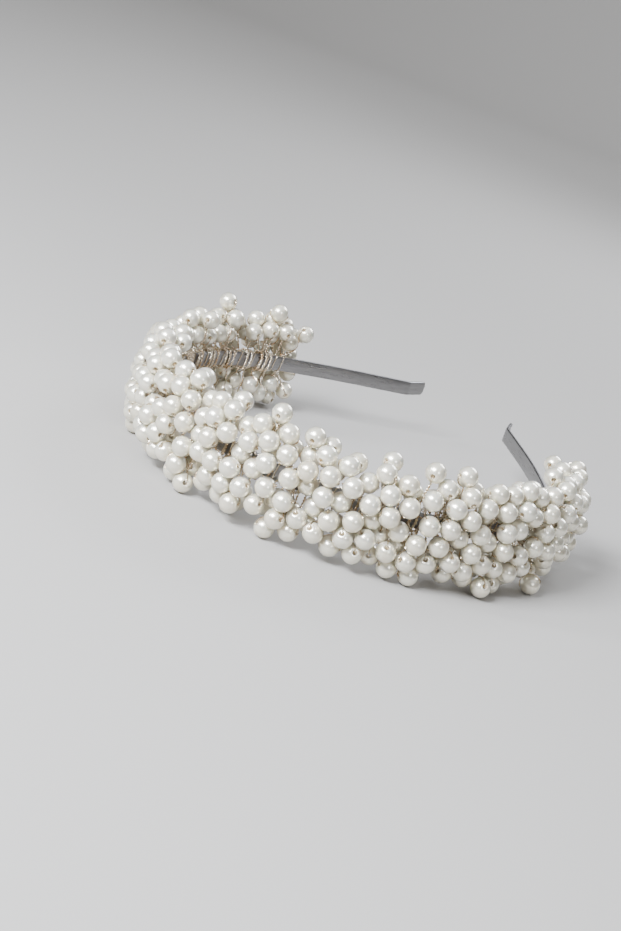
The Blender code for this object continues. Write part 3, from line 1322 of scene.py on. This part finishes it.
    def build_stems(self, plated: bpy.types.Material, origin: Vector) -> list[bpy.types.Object]:
        """Build the twisted stems, and the single strands that run over each pearl into its bore.

        Args:
            plated: the wire's finish.
            origin: where the band's own frame stands.

        Returns:
            One object for each stretch of the band.
        """
        centres = np.array([pearl.centre for pearl in self.pearls])
        groups: dict[int, MeshParts] = {}
        radius = self.bead.diameter / 2 + self.wire.strand_diameter / 2
        shares = np.linspace(0, 1, self.route_points)[:, None]
        for number, pearl in enumerate(self.pearls):
            centre = centres[number]
            group, _ = self.nearest_root(centre)
            parts = groups.setdefault(group, MeshParts())
            stem = np.array((pearl.root - pearl.centre).normalized())
            axis = np.array(pearl.bore)
            foot = centre + stem * (radius + self.wire.strand_diameter * self.foot_gap_in_strands)
            for side in (1, -1):
                path = [
                    centre + axis * side * self.bead.diameter * self.strand_start_in_pearls,
                    centre + axis * side * radius * self.strand_rim_share,
                ]
                for angle in np.radians(self.strand_degrees):
                    over = axis * side * math.cos(angle) + stem * math.sin(angle)
                    path.append(centre + radius * over)
                self.wire.add_strand(parts, np.array(path + [foot]))
            straight = foot * (1 - shares) + np.array(pearl.root) * shares
            self.wire.add_pair(parts, self.push_clear(straight, number, centres))
        return [parts.make(f"stems_{group}", [plated], origin) for group, parts in sorted(groups.items())]


@dataclass(frozen=True)
class Binding:
    """The wire wound round the band: fine single turns all along and the sprigs' twisted tails over them."""

    layout: SprigLayout
    wire: Wire
    fine_pitch: float = 2.9 * MM
    overrun: float = 1.5 * MM
    drift_mm: float = 0.05
    drift_kept: float = 0.98
    out_power: float = 0.35
    up_power: float = 0.8
    points_per_turn: int = 16
    tail_strand: float = 0.46 * MM
    tail_pitch: float = 1.9 * MM
    tail_slant: float = 1.5 * MM
    tail_turns: tuple[float, ...] = (1.6, 2.6)
    tail_start: tuple[float, float] = (0.1, 0.4)
    seed: int = 3

    def turn_point(self, along: float, share: float, lift: float) -> Vector:
        """Return a point of a turn round the band.

        Args:
            along: the place along the band.
            share: how far round the band, in turns.
            lift: the distance from the band's surface.

        Returns:
            The point in the band's own frame.
        """
        band = self.layout.band
        cosine, sine = math.cos(FULL_TURN * share), math.sin(FULL_TURN * share)
        out = (band.thickness / 2 + lift) * math.copysign(abs(cosine) ** self.out_power, cosine)
        up = (band.width / 2 + lift) * math.copysign(abs(sine) ** self.up_power, sine)
        return band.place(along, out, up)

    def build(
        self, plated: bpy.types.Material, sprigs: list[Sprig], origin: Vector
    ) -> list[bpy.types.Object]:
        """Wind the fine wire and the sprigs' tails.

        Args:
            plated: the wire's finish.
            sprigs: the sprigs whose tails are wound.
            origin: where the band's own frame stands.

        Returns:
            The fine binding and the tails.
        """
        rng = random.Random(self.seed)
        layout = self.layout
        start, length = layout.start() - self.overrun, layout.length() + 2 * self.overrun
        turns = int(length / self.fine_pitch)
        lift = self.wire.strand_diameter / 2
        path, drift = [], 0.0
        for step in range(turns * self.points_per_turn):
            share = step / self.points_per_turn
            drift += rng.uniform(-1, 1) * self.drift_mm * MM
            drift *= self.drift_kept
            path.append(self.turn_point(start + share * self.fine_pitch + drift, share, lift))
        fine = MeshParts()
        self.wire.add_strand(fine, np.array(path))
        tails = MeshParts()
        tail_wire = replace(self.wire, strand_diameter=self.tail_strand)
        tail_lift = self.wire.strand_diameter + self.tail_strand
        tail_points = self.points_per_turn * 2
        for sprig in sprigs:
            turns = rng.choice(self.tail_turns)
            first = sprig.along - turns * self.tail_pitch / 2 + rng.uniform(-1, 1) * self.tail_pitch / 2
            loop, start_share = [], rng.uniform(*self.tail_start)
            for step in range(round(turns * tail_points)):
                share = step / tail_points
                slant = self.tail_slant * math.cos(FULL_TURN * (share + start_share))
                shift = share * self.tail_pitch + slant
                loop.append(self.turn_point(first + shift, share + start_share, tail_lift))
            tail_wire.add_pair(tails, np.array(loop))
        return [fine.make("binding_wire", [plated], origin), tails.make("sprig_tails", [plated], origin)]


@dataclass(frozen=True)
class Softbox:
    """One rectangular soft light: where it hangs, its width and height, its power and the point it faces."""

    name: str
    place: tuple[float, float, float]
    size: tuple[float, float]
    watts: float
    aim: tuple[float, float, float] = (0.0, 0.0, 0.015)


@dataclass(frozen=True)
class Studio:
    """A pale paper sweep, soft lights and a camera at the photo's angle to the headband."""

    azimuth_degrees: float = 23.66
    elevation_degrees: float = 17.93
    roll_degrees: float = 19.28
    distance: float = 495.5 * MM
    shift_right: float = -11.5 * MM
    shift_up: float = -8.0 * MM
    aim_ahead: float = 55.0 * MM
    focal_px: float = 1600.5
    frame_height_px: float = 931.0
    sensor_mm: float = 36.0
    nearest_seen: float = 0.01
    floor_half: float = 1.6
    floor_front: float = 9.0
    wall_height: float = 2.2
    sweep_radius: float = 0.6
    sweep_step_degrees: int = 6
    surround_tone: str = "F0ECE6"
    surround_strength: float = 0.26
    light_tone: str = "F0F5FF"
    overhead_strength: float = 1.3
    overhead_spread: float = math.radians(90)
    softboxes: tuple[Softbox, ...] = (
        Softbox("key", (-0.17, -0.55, 0.49), (0.34, 0.24), 19.5),
        Softbox("strip", (-0.52, -0.50, 0.42), (0.07, 0.30), 4.0),
        Softbox("fill", (0.55, -0.45, 0.35), (0.16, 0.16), 1.2),
        Softbox("back", (0.1, 0.75, 0.55), (0.5, 0.25), 7.0),
        Softbox("wall", (0.0, 0.9, 1.4), (1.4, 0.5), 22.0, aim=(-0.3, 2.2, 0.4)),
    )

    def build_sweep(self, paper: bpy.types.Material) -> bpy.types.Object:
        """Build the floor, which curves up into a wall far behind.

        Args:
            paper: the floor's finish.

        Returns:
            The sweep.
        """
        half, radius = self.floor_half, self.sweep_radius
        outline = [(-self.floor_front, 0.0), (half, 0.0)]
        step = self.sweep_step_degrees
        for angle in np.radians(np.arange(step, 90 + step, step)):
            outline.append((half + radius * math.sin(angle), radius * (1 - math.cos(angle))))
        outline.append((half + radius, self.wall_height))
        points = [(x, y, z) for y, z in outline for x in (-self.floor_front, self.floor_front)]
        faces = [(2 * i, 2 * i + 1, 2 * i + 3, 2 * i + 2) for i in range(len(outline) - 1)]
        mesh = bpy.data.meshes.new("paper_sweep")
        mesh.from_pydata(points, [], faces)
        mesh.shade_smooth()
        mesh.materials.append(paper)
        return link_object("paper_sweep", mesh)

    def place_camera(self, origin: Vector) -> None:
        """Set the camera at the photo's angle.

        Args:
            origin: where the band's own frame stands.
        """
        a, e, r = np.radians((self.azimuth_degrees, self.elevation_degrees, self.roll_degrees)).tolist()
        back = Vector((math.sin(a) * math.cos(e), -math.cos(a) * math.cos(e), math.sin(e)))
        right = Vector((0, 0, 1)).cross(back).normalized()
        up = back.cross(right)
        tilted_right = right * math.cos(r) + up * math.sin(r)
        tilted_up = up * math.cos(r) - right * math.sin(r)
        aim = origin + Vector((0, self.aim_ahead, 0))
        eye = aim + back * self.distance + tilted_right * self.shift_right + tilted_up * self.shift_up
        data = bpy.data.cameras.new("camera")
        data.sensor_width = self.sensor_mm
        data.lens = self.focal_px / self.frame_height_px * self.sensor_mm
        data.clip_start = self.nearest_seen
        camera = link_object("camera", data)
        axes = Matrix((tilted_right, tilted_up, back)).transposed().to_4x4()
        camera.matrix_world = Matrix.Translation(eye) @ axes
        bpy.context.scene.camera = camera

    def add_softbox(self, box: Softbox) -> None:
        """Add one rectangular soft light.

        Args:
            box: the light.
        """
        data = bpy.data.lights.new(box.name, "AREA")
        data.shape = "RECTANGLE"
        data.size, data.size_y = box.size
        data.energy = box.watts
        data.color = linear(self.light_tone)[:3]
        lamp = link_object(box.name, data)
        lamp.location = box.place
        facing = Vector(box.aim) - Vector(box.place)
        lamp.rotation_euler = facing.to_track_quat("-Z", "Y").to_euler()

    def light(self) -> None:
        """Hang the soft lights and set a dim even surround."""
        for box in self.softboxes:
            self.add_softbox(box)
        overhead = bpy.data.lights.new("overhead", "SUN")
        overhead.energy = self.overhead_strength
        overhead.angle = self.overhead_spread
        overhead.color = linear(self.light_tone)[:3]
        link_object("overhead", overhead)
        world = bpy.data.worlds.new("surround")
        world.use_nodes = True
        background = world.node_tree.nodes["Background"]
        background.inputs["Color"].default_value = linear(self.surround_tone)
        background.inputs["Strength"].default_value = self.surround_strength
        bpy.context.scene.world = world


def band_origin(band: Band) -> Vector:
    """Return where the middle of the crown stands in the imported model."""
    low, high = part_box("headband")
    return Vector(((low[0] + high[0]) / 2, low[1] + band.thickness / 2, (low[2] + high[2]) / 2))


def finish_piece(piece: bpy.types.Object, slot: Slot, *nodes: str) -> None:
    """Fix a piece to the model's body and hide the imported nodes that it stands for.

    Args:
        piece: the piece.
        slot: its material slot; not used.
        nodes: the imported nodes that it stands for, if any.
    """
    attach(piece, ROOT)
    if nodes:
        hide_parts(*nodes)
    LOG.info("%s: %d faces", piece.name, len(piece.data.polygons))


def main() -> None:
    """Build the headband, its garland, its wire and the studio."""
    logging.basicConfig(level=logging.INFO, format="%(message)s")
    band = Band()
    origin = band_origin(band)
    lacquer, core = PearlLacquer().make(), BareCore().make()
    steel, plated = BrushedSteel().make(), PlatedWire().make()
    finish_piece(band.build(steel, origin), Slot.STEEL, "headband")
    layout = SprigLayout(band)
    garland = Garland(layout, Filling(layout), PearlBead(), Wire())
    garland.lay_out()
    sprig_names = {sprig.name for sprig in garland.sprigs}
    for piece in garland.build(lacquer, core, origin):
        name = piece.name.removesuffix("_pearls")
        finish_piece(piece, Slot.PEARL, *([name] if name in sprig_names else []))
    for piece in garland.build_stems(plated, origin):
        finish_piece(piece, Slot.WIRE)
    for piece in Binding(layout, garland.wire).build(plated, garland.sprigs, origin):
        finish_piece(piece, Slot.WIRE)
    studio = Studio()
    studio.build_sweep(StudioPaper().make())
    studio.place_camera(origin)
    studio.light()


if __name__ == "__main__":
    main()
